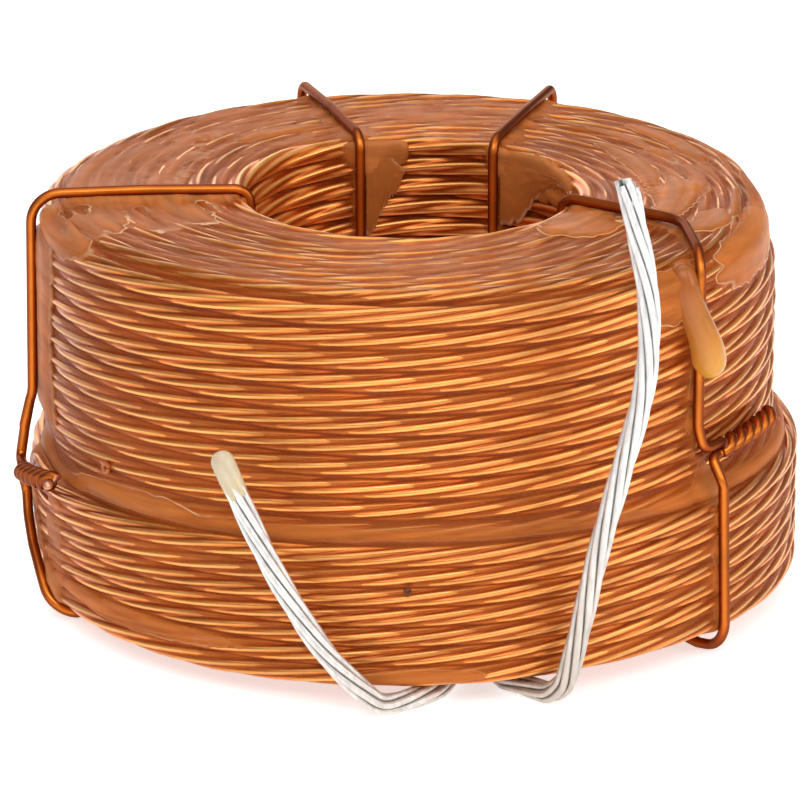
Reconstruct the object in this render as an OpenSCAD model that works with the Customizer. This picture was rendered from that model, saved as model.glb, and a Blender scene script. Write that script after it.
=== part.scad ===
// Air-core crossover inductor: a self-supporting coil of stranded enamelled
// copper wire, set in varnish, held by four twisted tie wires, with two
// tinned leads bent up in front of it. Millimetres, +Z up. The coil's axis
// is the Z axis and Z = 0 is the surface that the coil stands on.

/* [Winding] */
// Wire diameter over its seven strands and enamel
wire_d = 2.0; // [1.7:0.1:2.3]
// Diameter of the open core
bore_d = 32.0; // [28:0.2:42]
// Turns in the height of a full layer
turns_high = 18; // [14:1:22]
// Full layers, from the core outwards
layers = 10; // [6:1:12]
// Turns in the part layer wound round the foot of the coil
belt_turns = 7; // [4:1:9]
// Space between neighbouring turns of one layer
turn_gap = 0.05; // [0.01:0.01:0.1]
// What each layer adds to the radius, as a share of the wire diameter
layer_nest = 0.97; // [0.9:0.01:1]
// Depth from the turns' crests to the varnish between them
groove_depth = 0.38; // [0.2:0.02:0.6]
// How far the varnish fillet climbs the wall above the belt
fillet_rise = 3.2; // [1.5:0.1:3.6]

/* [Tie wires] */
// Diameter of the solid tie wire
tie_d = 1.0; // [0.7:0.1:1.1]
// Radius at the middle of the wire where it goes round the coil's edges
tie_bend_r = 1.55; // [1.2:0.05:1.65]
// The same where the two front ties come over the outer rim
rim_bend_r = 2.6; // [1.5:0.1:2.8]
// How far a tie stands off the turns that it crosses
tie_clear = 0.06; // [0.04:0.01:0.15]
// How far a tie arches above the top of the coil
tie_arch = 0.3; // [0.2:0.1:1.2]
// How far the left tie stands off the wall below the outer rim
left_stand_off = 0.3; // [0.1:0.05:0.9]
// Length of the twisted tails of the two front ties
front_tail_len = 11.0; // [8:0.5:12]
// Length of the twisted tails of the two back ties
back_tail_len = 9.0; // [6:0.5:10]
// Length of a tail in which its wires go once round each other
tail_lay = 3.45; // [3:0.05:5]
// Height of the two back tails above the top of the belt
back_tail_rise = 2.4; // [2.2:0.1:4]
// Height of the front tail above the top of the belt
front_tail_rise = 3.8; // [2.2:0.1:6]
// How far the left tail starts below the top of the belt
left_tail_drop = 3.8; // [3.2:0.1:4.5]
// How far the left tail climbs along its length
left_tail_climb = 2.6; // [0:0.1:3]

/* [Leads] */
// Diameter over the seven tinned strands of a lead
lead_d = 2.1; // [1.7:0.1:2.4]
// Length in which the strands go once round the lead
lead_lay = 24; // [18:1:40]
// Depth of the grooves between the strands
strand_groove = 0.24; // [0.1:0.02:0.3]
// Space between a lead and the turns it passes under
lead_clear = 0.06; // [0.04:0.01:0.2]
// Height of the start lead's tip above the foot of the coil
start_tip_h = 22.8; // [18:0.2:32]
// Height of the finish lead's tip above the foot of the coil
finish_tip_h = 48.2; // [40:0.2:56]
// Length of the rounded bead of resin on the start lead's tip
bead_len = 4.6; // [2:0.2:6]

/* [Varnish] */
// Length of the drip that hangs on the front tie
drip_len = 9.8; // [6:0.2:12]
// Diameter of the drip at its widest
drip_d = 3.0; // [2.2:0.1:3.4]
// Thickness of the two varnish curtains in the core
curtain_t = 0.45; // [0.2:0.05:0.7]

/* [Hidden] */

wire_r = wire_d / 2;
tie_r = tie_d / 2;
lead_r = lead_d / 2;
drip_r = drip_d / 2;
turn_pitch = wire_d + turn_gap;
layer_pitch = layer_nest * wire_d;

bore_r = bore_d / 2;
wall_r = bore_r + wire_d + (layers - 1) * layer_pitch;  // crests of the outermost full layer
belt_r = wall_r + layer_pitch;                          // crests of the belt
foot_z = lead_d + lead_clear;                           // crests of the bottom turns
top_z = foot_z + wire_d + (turns_high - 1) * turn_pitch;
belt_z = foot_z + wire_d + (belt_turns - 1) * turn_pitch;
film_gap = 0.01 * wire_d;                               // between varnish and what it lies on

copper = [0.80, 0.42, 0.17];
tie_copper = [0.72, 0.36, 0.13];
tinned = [0.86, 0.86, 0.84];
amber = [0.80, 0.55, 0.25];

// The four ties: the azimuths of the leg in the core, of the turning point of
// the run over the top, of the outer leg above the tail, and of the outer leg
// just below the tail and at the foot. Then the turning point's share of the
// way out, the height of the tail above the top of the belt, its climb and
// its length, the radius at the outer rim and how far the leg stands off.
tie_left = [190, 188.8, 187, 188.5, 205, 0.5, -left_tail_drop, left_tail_climb,
            front_tail_len, rim_bend_r + left_stand_off, left_stand_off];
tie_back_left = [108.3, 108, 107.8, 107, 107, 0.5, back_tail_rise, 0, back_tail_len, tie_bend_r, 0];
tie_back_right = [57.6, 63, 66, 66, 66, 0.5, back_tail_rise, 0, back_tail_len, tie_bend_r, 0];
tie_front_right = [340, 331.5, 318, 320, 320, 0.66, front_tail_rise, 0, front_tail_len, rim_bend_r, 0];

// ---- vectors and paths ----

function unit(v) = v / norm(v);
function polar(r, a, z) = [r * cos(a), r * sin(a), z];

// The arc that rounds the corner at b between a and c, as steps + 1 points.
function corner(a, b, c, r, steps) =
    let (d1 = unit(b - a), d2 = unit(c - b), turn = acos(min(1, max(-1, d1 * d2))))
    turn < 1 ? [b] :
    let (centre = b + unit(d2 - d1) * r / cos(turn / 2),
         start = b - d1 * r * tan(turn / 2) - centre)
    [for (i = [0 : steps])
        centre + start * cos(turn * i / steps) + d1 * r * sin(turn * i / steps)];

// A path through [point, radius] pairs, each inner corner rounded to its radius.
function rounded(p, steps) = concat([p[0][0]],
    [for (i = [1 : len(p) - 2]) each corner(p[i - 1][0], p[i][0], p[i + 1][0], p[i][1], steps)],
    [p[len(p) - 1][0]]);

// A smooth curve through the points, as steps pieces between each two of them.
function through(p, steps) = let (n = len(p)) concat(
    [for (i = [0 : n - 2], k = [0 : steps - 1])
        let (a = p[max(0, i - 1)], b = p[i], c = p[i + 1], d = p[min(n - 1, i + 2)], t = k / steps)
        0.5 * (2 * b + (c - a) * t + (2 * a - 5 * b + 4 * c - d) * t * t
               + (3 * b - a - 3 * c + d) * t * t * t)],
    [p[n - 1]]);

// Distance along the path to each of its points.
function run(p) = [for (i = 0, s = 0; i < len(p);
    i = i + 1, s = i < len(p) ? s + norm(p[i] - p[i - 1]) : s) s];

// The same path as points at equal distances of about gap.
function evenly(p, gap) =
    let (s = run(p), total = s[len(s) - 1], n = round(total / gap),
         axes = [for (k = [0 : 2]) [for (i = [0 : len(p) - 1]) [s[i], p[i][k]]]])
    [for (i = [0 : n]) [for (k = [0 : 2]) lookup(total * i / n, axes[k])]];

function tangents(p) =
    let (n = len(p) - 1, inner = [for (i = [1 : n - 1]) unit(p[i + 1] - p[i - 1])])
    concat([unit(2 * unit(p[1] - p[0]) - inner[0])], inner,
           [unit(2 * unit(p[n] - p[n - 1]) - inner[n - 2])]);

// Normals carried along the path without turning about it.
function carried(t, first) = [for (i = 0, n = unit(first - (first * t[0]) * t[0]); i < len(t);
    i = i + 1, n = i < len(t) ? unit(n - (n * t[i]) * t[i]) : n) n];

// A closed body from equal rings of points, with a flat cap at both ends.
module skin(rings) {
    sides = len(rings[0]);
    last = len(rings) - 1;
    polyhedron(
        points = [for (ring = rings) each ring],
        faces = concat([[for (j = [0 : sides - 1]) j]],
            [for (i = [0 : last - 1], j = [0 : sides - 1])
                each let (a = i * sides + j, b = i * sides + (j + 1) % sides)
                    [[a, a + sides, b + sides], [a, b + sides, b]]],
            [[for (j = [sides - 1 : -1 : 0]) last * sides + j]]));
}

// A body along the path. The point j of ring i lies radii[i][j] away from the
// path, and the rings turn about it by twist degrees in each millimetre.
module sleeve(p, radii, twist = 0) {
    sides = len(radii[0]);
    s = run(p);
    t = tangents(p);
    n = carried(t, [0.31, 0.52, 0.8]);
    skin([for (i = [0 : len(p) - 1]) let (m = cross(t[i], n[i]))
        [for (j = [0 : sides - 1]) let (turn = 360 * j / sides + twist * s[i])
            p[i] + radii[i][j] * (n[i] * cos(turn) + m * sin(turn))]]);
}

// ---- winding ----

// Each second layer lies in the hollows of the one below it, half a turn
// lower at the top and half a turn higher at the foot.
function layer_drop(i) = (i % 2) * turn_pitch / 2;
function layer_r(i) = bore_r + wire_r + i * layer_pitch;

// One column of turns: count turns above each other, the lowest centred at z.
module turn_column(r, z, count) {
    for (k = [0 : count - 1]) translate([r, z + k * turn_pitch]) circle(r = wire_r, $fn = 32);
}

// The varnished body that the outer turns stand out of.
module varnish_section() {
    crests = [for (i = [0 : layers - 1]) [layer_r(i), layer_drop(i) + groove_depth]];
    inner_r = bore_r + groove_depth;
    outer_r = wall_r - groove_depth;
    polygon(concat(
        [[inner_r, foot_z + wire_r]],
        [for (c = crests) [c[0], foot_z + c[1]]],
        [[layer_r(layers), foot_z + groove_depth],
         [belt_r - groove_depth, foot_z + wire_r],
         [belt_r - groove_depth, belt_z - wire_r],
         [layer_r(layers) + 0.2 * wire_r, belt_z - groove_depth / 2],
         [wall_r + 0.25 * wire_r, belt_z + 0.35 * fillet_rise],
         [outer_r, belt_z + fillet_rise],
         [outer_r, top_z - wire_r - layer_drop(layers - 1)]],
        [for (i = [layers - 1 : -1 : 0]) [crests[i][0], top_z - crests[i][1]]],
        [[inner_r, top_z - wire_r]]));
}

module winding() {
    color(copper) rotate_extrude($fn = 180) {
        varnish_section();
        for (i = [0 : layers - 1]) {
            turns = turns_high - i % 2;
            low = foot_z + wire_r + layer_drop(i);
            if (i == 0 || i == layers - 1) turn_column(layer_r(i), low, turns);
            else {
                turn_column(layer_r(i), low, 1);
                turn_column(layer_r(i), low + (turns - 1) * turn_pitch, 1);
            }
        }
        turn_column(layer_r(layers), foot_z + wire_r, belt_turns);
    }
}

// ---- leads ----

lead_bend_r = lead_r + lead_clear / 2;       // middle of the bend out of the foot
lead_ring_gap = 0.76 * lead_d;               // between the sections along a lead
lead_sides = 24;                             // points round a lead, four to a strand
outer_layer = 2 * floor((layers - 1) / 2);   // outermost full layer that reaches the foot

// From the core to the belt, as a share of the way.
function across(share) = bore_r + share * (belt_r - bore_r);

// Distance from the middle of a lead to the crest of a strand, or to the tin
// beside it, turn degrees round from the crest.
function rope_r(turn) = let (strand_r = lead_r / 3, off = 2 * strand_r * sin(turn))
    max(lead_r - strand_groove,
        2 * strand_r * cos(turn) + sqrt(max(0, strand_r * strand_r - off * off)));

// The middle of a lead: down out of the turn of layer i at azimuth a, along
// below the coil by the [share of the way out, azimuth, lift] of under, and up
// by the [distance from the belt, azimuth, share of tip_h] of front. Lifts and
// distances are counted in lead diameters.
function lead_path(i, a, under, front, tip_h) =
    let (low = polar(layer_r(i), a, lead_r),
         level = [for (u = under) polar(across(u[0]), u[1], lead_r + u[2] * lead_d)],
         rise = [for (f = front)
             polar(belt_r + lead_r + f[0] * lead_d, f[1], foot_z + f[2] * tip_h)],
         bend = corner(low + [0, 0, lead_d], low, level[0], lead_bend_r, 6))
    concat([for (k = [0 : 5]) bend[k]],
           [for (p = evenly(through(concat([bend[6]], level, rise), 6), lead_ring_gap))
               [p[0], p[1], max(lead_r, p[2])]]);

// Seven strands laid left-handed along the path. Resin fills the grooves of
// the last bead_l of it and ends in a round tip.
module lead(path, bead_l) {
    s = run(path);
    total = s[len(s) - 1];
    out = unit(path[len(path) - 1] - path[len(path) - 2]);
    dome = [for (u = bead_l > 0 ? [30, 55, 76] : []) u];
    body = concat(
        [for (d = s) [1, bead_l > 0 ? min(1, max(0, (d - total + bead_l) / lead_ring_gap)) : 0]],
        [for (u = dome) [cos(u), 1]]);
    color(tinned) sleeve(
        concat(path, [for (u = dome) path[len(path) - 1] + out * lead_r * sin(u)]),
        [for (b = body) [for (j = [0 : lead_sides - 1])
            let (r = rope_r(abs(30 - (360 * j / lead_sides + 30) % 60)))
            b[0] * (r + b[1] * (lead_r - r))]],
        -360 / lead_lay);
}

module start_lead() {
    lead(lead_path(0, 280.2,
                   [[0.51, 279.7, 0], [0.82, 275.1, 0], [0.965, 270.5, 0], [1.048, 266.7, 0.05]],
                   [[0.36, 264.3, 0.01], [0.7, 259, 0.2], [0.85, 254.1, 0.45],
                    [0.87, 250.2, 0.68], [0.79, 245.2, 1]],
                   start_tip_h - lead_r),
         bead_len);
}

module finish_lead() {
    lead(lead_path(outer_layer, 284.6,
                   [[0.875, 287.2, 0], [1.003, 289.6, 0]],
                   [[0.29, 290.9, 0], [0.57, 291.5, 0.03], [1.1, 292.4, 0.124],
                    [1.71, 294.1, 0.292], [2.17, 296.2, 0.443], [2.5, 298.8, 0.618],
                    [2.26, 299.5, 0.779], [1.48, 298.6, 0.936], [1.06, 298.1, 1]],
                   finish_tip_h),
         0);
}

// ---- tie wires ----

tie_in_r = bore_r - tie_clear - tie_r;
tie_up_r = wall_r + tie_clear + tie_r;
tie_low_r = belt_r + tie_clear + tie_r;
strand_off = 1.04 * tie_r;    // from the middle of a tail to the middle of each strand
tail_bend_r = 0.9 * tie_d;    // where the legs turn into the tail
tail_reach = 2.1 * tie_d;     // height in which a leg leaves the coil for its tail

// One strand of the twisted tail, from the legs outwards: it follows the wall
// and goes round the middle of the tail, which lies at the radius r.
function tail_strand(r, a, z, side, climb, length) =
    let (steps = round(3.4 * length), sweep = length / r * 180 / PI)
    [for (i = [0 : steps]) let (turn = side + 360 * length / tail_lay * i / steps)
        polar(r + strand_off * cos(turn), a + sweep * i / steps,
              z + climb * i / steps + strand_off * sin(turn))];

// Points on the way from a to b as azimuth and height, for a leg that leans
// along the belt. The leg swings out faster towards its foot.
function leaning(a, b, top, foot) = a == b ? [] :
    [for (k = [1 : 3]) let (u = k / 4)
        [polar(tie_low_r + tie_clear, a + (b - a) * pow(u, 1.4), top + (foot - top) * u), 6 * tie_d]];

// The whole tie, from one end of its tail round the coil to the other: down
// the tail, up the wall, over the top, down the core, out below and up again.
function tie_path(at) =
    let (core = at[0], up = at[2], hip = at[3], foot = at[4], tail_z = belt_z + at[6],
         on_belt = at[6] < 0, tail_r = (on_belt ? tie_low_r : tie_up_r) + tie_r,
         over_z = top_z + tie_clear + tie_r, under_z = foot_z - tie_clear - tie_r,
         tail_a = max(up, hip) + 1.7 * tie_d / tail_r * 180 / PI,
         a_strand = tail_strand(tail_r, tail_a, tail_z, 90, at[7], at[8]),
         b_strand = tail_strand(tail_r, tail_a, tail_z, 270, at[7], at[8]),
         turn_r = tie_in_r + at[5] * (tie_up_r - tie_in_r),
         core_foot = polar(tie_in_r, core, under_z), out_foot = polar(tie_low_r, foot, tie_r),
         hip_z = on_belt ? tail_z - strand_off - tail_reach
                         : max(tail_z - strand_off - tail_reach, belt_z - 0.2 * wire_r))
    concat(
        [for (i = [len(a_strand) - 1 : -1 : 0]) a_strand[i]],
        rounded(concat(
            [[a_strand[0], 0], [polar(tail_r, up + 0.4, tail_z + strand_off), tail_bend_r]],
            on_belt ? [[polar(tie_low_r, up, belt_z - 0.3 * wire_r), 2 * tie_d],
                       [polar(tie_up_r + at[10] + 0.3 * tie_d, up, belt_z + 1.6 * wire_d), 4 * tie_d]]
                    : [[polar(tie_up_r, up, tail_z + strand_off + tail_reach), 4 * tie_d]],
            [[polar(tie_up_r + at[10], up, over_z), at[9]],
             [polar(turn_r, at[1], over_z + tie_arch), 5 * tie_d],
             [polar(tie_in_r, core, over_z), tie_bend_r],
             [core_foot, tie_bend_r],
             [core_foot * 0.3 + out_foot * 0.7, 8 * tie_d],
             [out_foot, tie_bend_r]],
            [for (k = [2 : -1 : 0]) each let (m = leaning(hip, foot, hip_z, tie_r + tie_bend_r)) len(m) > 0 ? [m[k]] : []],
            [[polar(tie_low_r, hip, hip_z), 1.5 * tie_d],
             [polar(tail_r, max(up, hip) + 0.4, tail_z - strand_off), tail_bend_r],
             [b_strand[0], 0]]), 4),
        b_strand);

module tie_wire(at) {
    path = tie_path(at);
    color(tie_copper) sleeve(path, [for (p = path) [for (j = [1 : 8]) tie_r]]);
}
module tie_wire_left() { tie_wire(tie_left); }
module tie_wire_back_left() { tie_wire(tie_back_left); }
module tie_wire_back_right() { tie_wire(tie_back_right); }
module tie_wire_front_right() { tie_wire(tie_front_right); }

// ---- loose varnish ----

// The drip: a ball that narrows upwards, round the outer leg of the front tie
// and against the wall behind it.
module varnish_drip() {
    leg = tie_front_right[2];
    neck_r = 0.55 * drip_r;
    slope = asin((drip_r - neck_r) / (drip_len - drip_r));
    low = top_z - 0.7 * wire_d - drip_len + drip_r;
    color(amber) difference() {
        translate(polar(wall_r + 0.75 * drip_r, leg + 1, low)) rotate([0, 0, leg]) rotate([11, 0, 0]) {
            sphere(r = drip_r, $fn = 48);
            translate([0, 0, drip_r * sin(slope)])
                cylinder(r1 = drip_r * cos(slope), r2 = neck_r,
                         h = drip_len - drip_r - drip_r * sin(slope), $fn = 48);
        }
        cylinder(r = wall_r + film_gap, h = top_z, $fn = 180);
        translate(polar(tie_up_r, leg, foot_z)) cylinder(r = tie_r + film_gap, h = top_z, $fn = 48);
    }
}

// A curtain across the crests in the core, given from side to side by the
// azimuth and the turns from the top down to its upper and its lower edge.
module curtain(edges) {
    outer_r = bore_r - film_gap;
    inner_r = outer_r - curtain_t;
    color(amber) skin([for (e = edges)
        let (high = top_z - e[1] * turn_pitch, low = top_z - e[2] * turn_pitch)
        [polar(outer_r, e[0], low), polar(inner_r, e[0], low),
         polar(inner_r, e[0], high), polar(outer_r, e[0], high)]]);
}
module varnish_curtain_left() {
    curtain([[91.6, 1.6, 1.9], [93.6, 1.3, 2.4], [96.6, 0.8, 3], [99.5, 0.6, 3.5],
             [102, 0.55, 4.4], [105.8, 0.55, 4.9]]);
}
module varnish_curtain_right() {
    curtain([[8, 0.6, 0.9], [20, 0.55, 1], [30.5, 0.55, 1.25], [38.5, 0.55, 2.3],
             [46, 0.55, 3.4], [55.2, 0.55, 3.9]]);
}

winding();
start_lead();
finish_lead();
tie_wire_left();
tie_wire_back_left();
tie_wire_back_right();
tie_wire_front_right();
varnish_drip();
varnish_curtain_left();
varnish_curtain_right();
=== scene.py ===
import math

import bpy
import numpy as np
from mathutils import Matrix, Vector


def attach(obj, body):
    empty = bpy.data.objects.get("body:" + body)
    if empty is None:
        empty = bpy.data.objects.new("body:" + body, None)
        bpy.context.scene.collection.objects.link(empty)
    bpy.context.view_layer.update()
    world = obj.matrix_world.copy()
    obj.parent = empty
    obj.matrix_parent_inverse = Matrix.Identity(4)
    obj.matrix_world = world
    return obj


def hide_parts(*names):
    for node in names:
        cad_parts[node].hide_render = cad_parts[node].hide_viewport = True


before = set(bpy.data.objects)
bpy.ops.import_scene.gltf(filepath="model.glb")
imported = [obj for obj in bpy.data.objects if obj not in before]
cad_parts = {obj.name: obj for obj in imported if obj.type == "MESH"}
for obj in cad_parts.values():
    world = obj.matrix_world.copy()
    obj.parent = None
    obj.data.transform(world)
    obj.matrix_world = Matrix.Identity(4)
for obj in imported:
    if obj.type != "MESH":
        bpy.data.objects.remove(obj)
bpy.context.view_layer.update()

# Sizes are in millimetres until a mesh is made; the winding's own come first. crownLow is how near the wire's
# middle the grooves between its strands reach, as a share of its radius.
coil = dict(
    boreR=16.0, wallR=35.46, beltR=37.4, footZ=2.16, topZ=39.01, beltZ=16.46,
    wireR=1.0, pitch=2.05, layerPitch=1.94, layers=10, turnsHigh=18, beltTurns=7,
    strandLay=39.0, waver=0.07, crownLow=0.70)
boreR, wallR, beltR, footZ, topZ, beltZ, wireR = map(coil.get, "boreR wallR beltR footZ topZ beltZ wireR".split())
uneven = dict(beltShift=0.5, backLift=0.3, rimDrawn=1.7)  # where the coil leaves the round


def unit(v):
    # Each vector divided by its length.
    return v / np.linalg.norm(v, axis=-1, keepdims=True)


def polar(r, az, z):
    # Points from radius, azimuth in degrees and height: radius times cosine, radius times sine, height.
    a = np.radians(az)
    return np.stack(np.broadcast_arrays(r * np.cos(a), r * np.sin(a), z), -1)


def angleFrom(az, centre):
    # The azimuth less the centre, brought between -180 and 180 degrees.
    return (az - centre + 180) % 360 - 180


def bell(x):
    # A bell curve: e to the power of minus x squared.
    return np.exp(-x ** 2)


def smoothStep(low, high, x):
    # Eases from 0 at low to 1 at high: three times the square of the way less twice its cube.
    t = np.clip((x - low) / (high - low), 0, 1)
    return t * t * (3 - 2 * t)


def cloud(u, v, cellsU, cellsV, seed):
    # Smooth noise from -1 to 1: random values on a grid of cellsU by cellsV, eased between. u and v run from
    # 0 to 1, and u closes on itself.
    grid = np.random.default_rng(seed).uniform(-1, 1, (cellsU, cellsV + 2))
    x, y = np.asarray(u) * cellsU, np.clip(v, 0, 1) * cellsV
    i, j = np.floor(x).astype(int), np.minimum(np.floor(y).astype(int), cellsV)
    a, b = x - i, y - j
    a, b = a * a * (3 - 2 * a), b * b * (3 - 2 * b)
    i0, i1 = i % cellsU, (i + 1) % cellsU
    return ((grid[i0, j] * (1 - a) + grid[i1, j] * a) * (1 - b)
            + (grid[i0, j + 1] * (1 - a) + grid[i1, j + 1] * a) * b)


def settle(points):
    # The coil's own shape: below its seam all outside the wall's crests moves to +X, the back of the top is
    # higher, and the rim is drawn in on the +X side. Each eases in by radius, azimuth and height.
    x, y, z = points.T
    r, az = np.maximum(np.hypot(x, y), 1e-6), np.degrees(np.arctan2(y, x))
    back = smoothStep(10, 60, az) * (1 - smoothStep(130, 175, az))
    right = smoothStep(-34, -4, az) * (1 - smoothStep(6, 32, az))
    drawn = 1 - uneven["rimDrawn"] * right * smoothStep(31, 40, z) * smoothStep(27, 35, r) / r
    below = 1 - smoothStep(beltZ - 0.6, beltZ + 1.4, z)
    belt = uneven["beltShift"] * smoothStep(34.6, 35.6, r) * below
    return np.stack([x * drawn + belt, y * drawn, z + uneven["backLift"] * back * smoothStep(25, 38, z)], -1)


def link(name, data):
    # An object for the data, linked to the scene.
    thing = bpy.data.objects.new(name, data)
    bpy.context.scene.collection.objects.link(thing)
    return thing


def buildMesh(name, points, quads, tris=(), *, surface, values=None, replaces="winding", slot="varnish",
              settled=True):
    # A piece from points in millimetres, its faces and its values per point.
    mesh = bpy.data.meshes.new(name)
    points = np.asarray(points, float).reshape(-1, 3)
    if settled:
        points = settle(points)
    quads = np.asarray(quads, np.int32).reshape(-1, 4)
    tris = np.asarray(tris, np.int32).reshape(-1, 3)
    corners = np.concatenate([quads.ravel(), tris.ravel()])
    starts = np.concatenate([np.arange(len(quads)) * 4, len(quads) * 4 + np.arange(len(tris)) * 3])
    mesh.vertices.add(len(points))
    mesh.vertices.foreach_set("co", (points * 0.001).astype(np.float32).ravel())
    mesh.loops.add(len(corners))
    mesh.loops.foreach_set("vertex_index", corners)
    mesh.polygons.add(len(starts))
    mesh.polygons.foreach_set("loop_start", starts.astype(np.int32))
    mesh.polygons.foreach_set("use_smooth", np.ones(len(starts), bool))
    for key, value in (values or {}).items():
        layer = mesh.attributes.new(key, "FLOAT", "POINT")
        layer.data.foreach_set("value", np.asarray(value, np.float32).ravel())
    mesh.update(calc_edges=True)
    mesh.validate()
    mesh.materials.append(surface)
    piece = link(name, mesh)
    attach(piece, "root")
    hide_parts(replaces)


def newFinish(name, values):
    # An empty finish and its node tree; the values go on the shader's own sockets.
    finish = bpy.data.materials.new(name)
    finish.use_nodes = True
    for key, value in values.items():
        finish.node_tree.nodes["Principled BSDF"].inputs[key].default_value = value
    return finish, finish.node_tree


def addNode(tree, kind, inputs=None, **settings):
    # One node with its settings; inputs maps a socket to a value or to another node's output.
    node = tree.nodes.new(kind)
    for key, value in settings.items():
        setattr(node, key, value)
    for key, value in (inputs or {}).items():
        if isinstance(value, bpy.types.NodeSocket):
            tree.links.new(value, node.inputs[key])
        else:
            node.inputs[key].default_value = value
    return node


def colourRamp(tree, source, stops):
    # The colour, or grey, between the (place, colour) stops at the source's value.
    ramp = addNode(tree, "ShaderNodeValToRGB", {0: source})
    band = ramp.color_ramp
    while len(band.elements) < len(stops):
        band.elements.new(0.5)
    for element, (place, colour) in zip(band.elements, stops):
        element.position = place
        element.color = (*np.broadcast_to(colour, 3).tolist(), 1)
    return ramp.outputs["Color"]


def attributeOf(tree, name):
    # The value of that name which the mesh carries at its points.
    return addNode(tree, "ShaderNodeAttribute", attribute_name=name).outputs["Fac"]


def blendColour(tree, share, a, b, mode="MIX"):
    # a times one less the share, plus b times the share; in the MULTIPLY mode a goes towards a times b.
    return addNode(tree, "ShaderNodeMix", {0: share, 6: a, 7: b}, data_type="RGBA", blend_type=mode).outputs[2]


def mathNode(tree, operation, a, b=0.0, c=0.0):
    # a and b by the operation; MULTIPLY_ADD is a times b plus c.
    return addNode(tree, "ShaderNodeMath", {0: a, 1: b, 2: c}, operation=operation).outputs[0]


def speckle(tree, scale, stretch=(1, 1, 1)):
    # Noise on the object's own coordinates, drawn out along an axis by stretch.
    place = addNode(tree, "ShaderNodeTexCoord").outputs["Object"]
    place = addNode(tree, "ShaderNodeMapping", {"Vector": place, "Scale": stretch}).outputs[0]
    return addNode(tree, "ShaderNodeTexNoise",
                   {"Vector": place, "Scale": scale, "Detail": 3.0, "Roughness": 0.55}).outputs["Fac"]


def speckled(tree, scale, spread, low, *stretch, noise=speckle):
    # A noise times the spread, plus the lowest value.
    return mathNode(tree, "MULTIPLY_ADD", noise(tree, scale, *stretch), spread, low)


def whereOn(tree):
    # x, y and z on the object, in metres.
    place = addNode(tree, "ShaderNodeTexCoord").outputs["Object"]
    return addNode(tree, "ShaderNodeSeparateXYZ", {0: place}).outputs


def roundTheCoil(tree, scale, along=260.0):
    # Noise drawn out round the coil's axis: it reads the direction from the axis, the radius and the height.
    xyz = whereOn(tree)
    flat = addNode(tree, "ShaderNodeCombineXYZ", {0: xyz[0], 1: xyz[1]}).outputs[0]
    radius = addNode(tree, "ShaderNodeVectorMath", {0: flat}, operation="LENGTH").outputs["Value"]
    reach = mathNode(tree, "MULTIPLY", radius, along)
    aim = addNode(tree, "ShaderNodeCombineXYZ", {0: mathNode(tree, "DIVIDE", xyz[0], reach),
                                                 1: mathNode(tree, "DIVIDE", xyz[1], reach), 2: xyz[2]}).outputs[0]
    return addNode(tree, "ShaderNodeTexNoise", {"Vector": aim, "W": radius, "Scale": scale, "Detail": 2.0,
                                                "Roughness": 0.5}, noise_dimensions="4D").outputs["Fac"]


def shadeBy(tree, colour, value):
    # The colour times a grey of that value.
    grey = addNode(tree, "ShaderNodeCombineColor", {0: value, 1: value, 2: value}).outputs[0]
    return blendColour(tree, 1.0, colour, grey, "MULTIPLY")


def bumpOf(tree, scale, strength, reach, noise=speckle):
    # The surface's direction, tilted by the slope of a noise.
    return addNode(tree, "ShaderNodeBump", {"Strength": strength, "Distance": reach,
                                            "Height": noise(tree, scale)}).outputs[0]


def dress(tree, look, colour, cover=None, noise=speckle):
    # The colour and the cover go to the shader, and so do the roughness and the bump that the settings name.
    sources = {"Base Color": colour}
    if cover is not None:
        sources["Alpha"] = cover
    if "rough" in look:
        sources["Roughness"] = speckled(tree, *look["rough"])
    if "grain" in look:
        sources["Normal"] = bumpOf(tree, *look["grain"], noise=noise)
    for key, value in sources.items():
        tree.links.new(value, tree.nodes["Principled BSDF"].inputs[key])


# In each finish's settings a ramp is (place, colour or grey) stops, mottle, streaks and rough are a noise's scale,
# spread and lowest value, and grain is a bump's noise scale, strength and reach in metres.
strandLook = dict(
    shader={"Metallic": 0.82, "Coat Weight": 0.15, "Coat Roughness": 0.2},
    # Stops by groove depth: the crest's painted highlight down to painted shade in the grooves.
    grooveShade=[(0.0, (0.95, 0.45, 0.13)), (0.10, (0.88, 0.35, 0.08)), (0.32, (0.74, 0.21, 0.034)),
            (0.65, (0.52, 0.11, 0.013)), (1.0, (0.38, 0.065, 0.007))],
    mottle=(420, 0.45, 0.76), rough=(900, 0.20, 0.22), grain=(1500, 0.12, 0.0001))


def strandCopper():
    # Enamelled copper: a painted highlight on each strand's crest and painted shade deeper in the grooves between the
    # strands, times mottle times the tone, which holds each strand's random tone and its group's painted light and
    # shade.
    finish, tree = newFinish("strandCopper", strandLook["shader"])
    body = colourRamp(tree, attributeOf(tree, "grooveShade"), strandLook["grooveShade"])
    shade = mathNode(tree, "MULTIPLY", speckled(tree, *strandLook["mottle"]), attributeOf(tree, "tone"))
    dress(tree, strandLook, shadeBy(tree, body, shade))
    return finish


filmLook = dict(
    shader={"IOR": 1.45, "Specular IOR Level": 0.15},
    # The varnish's amber, darker the lower the film lies between the crests: painted shade.
    glazeAndGrooveShade=[(0.0, (0.24, 0.034, 0.003)), (0.34, (0.42, 0.072, 0.006)), (0.50, (0.50, 0.115, 0.013)),
           (0.60, (0.55, 0.155, 0.028)), (0.80, (0.58, 0.19, 0.048))],
    edge=[(0.490, 0), (0.508, 1), (0.520, 1), (0.536, 0)],
    cover=[(0.0, 0.15), (0.32, 0.38), (0.47, 0.52), (0.58, 0.76), (0.9, 0.88)],
    crust=(0.80, 0.47, 0.25, 1), streaks=(900, 1.3, 0.38), rough=(260, 0.25, 0.30), grain=(700, 0.35, 0.0002))


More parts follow.
